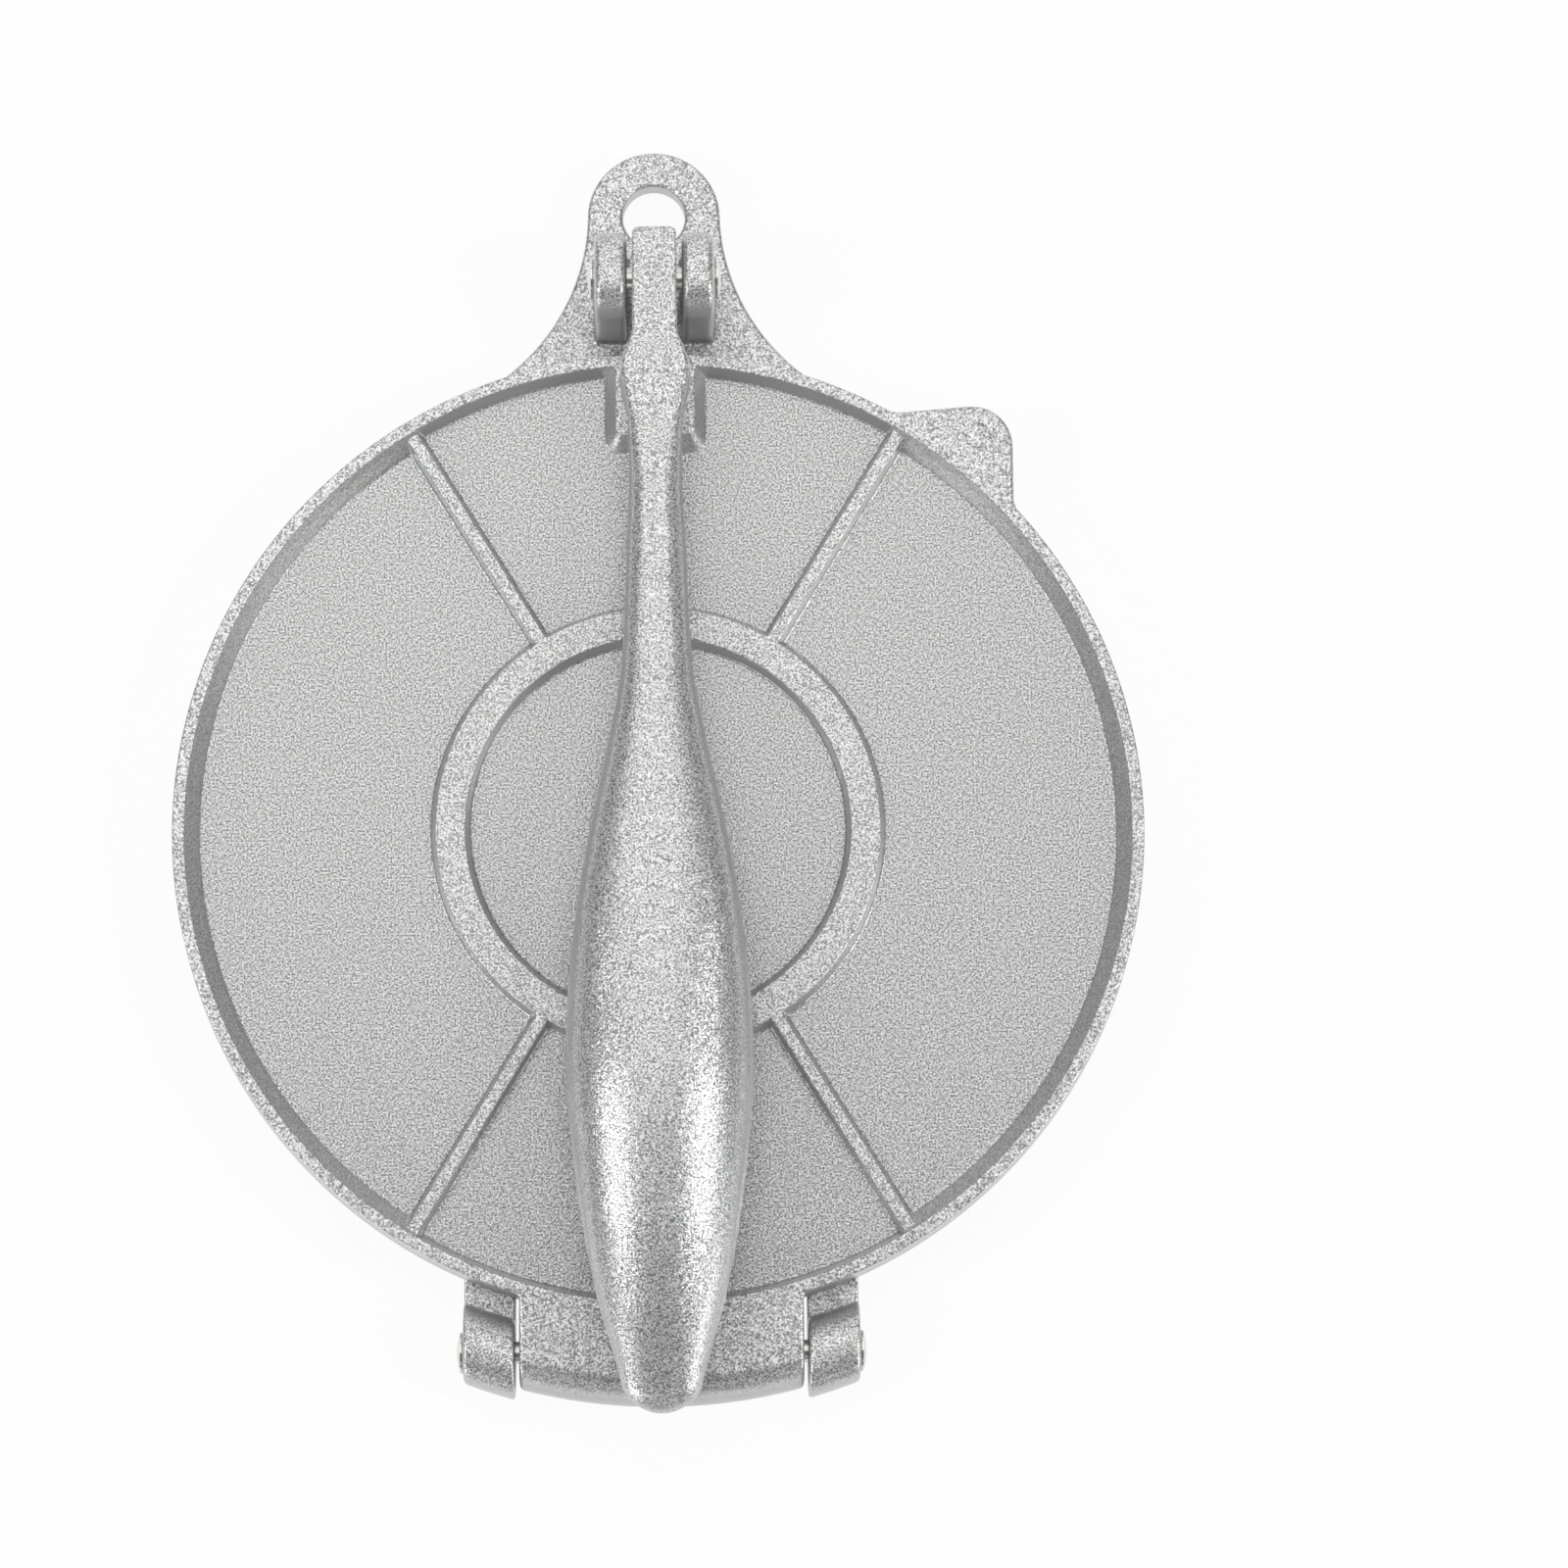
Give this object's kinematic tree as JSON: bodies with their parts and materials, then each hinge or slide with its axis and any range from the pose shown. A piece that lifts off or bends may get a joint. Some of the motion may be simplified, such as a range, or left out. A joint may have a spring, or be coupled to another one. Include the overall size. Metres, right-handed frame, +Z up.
{
  "type": "tortilla press",
  "caption": "Hinged pair of round cast plates with a long lever on a clevis that presses the upper plate down, for flattening balls of dough into thin rounds.",
  "frame": {"origin": "on the table, under the middle of the whole press, from the lever's tip to the end of the hanging tab", "axes": "+Z up, +Y towards the lever's pivot and the hanging tab, -Y towards the plates' hinge and the lever's tip, +X towards the side with the lift lug"},
  "size_m": [0.214, 0.2832, 0.0514],
  "materials": {
    "cast_body": "silver-grey speckled satin coat on cast aluminium",
    "pin_steel": "bright steel"
  },
  "bodies": {
    "lower": {"base_plate": "cast_body", "hinge_rod": "pin_steel", "hinge_screw_left": "pin_steel", "hinge_screw_right": "pin_steel", "lever_rod": "pin_steel", "lever_screw_left": "pin_steel", "lever_screw_right": "pin_steel"},
    "upper": {"top_plate": "cast_body"},
    "lever": {"lever": "cast_body"}
  },
  "joints": [
    {"name": "lever_swing", "type": "hinge", "parent": "lower", "child": "lever", "pos_m": [0, 0.10719, 0.031], "axis": [-1, 0, 0], "range_deg": [0, 180]},
    {"name": "plate_open", "type": "hinge", "parent": "lower", "child": "upper", "pos_m": [0, -0.12781, 0.014], "axis": [1, 0, 0], "range_deg": [0, 95]}
  ],
  "couplings": [
    {"joint": "plate_open", "follows": "lever_swing", "ratio": 0.08}
  ]
}
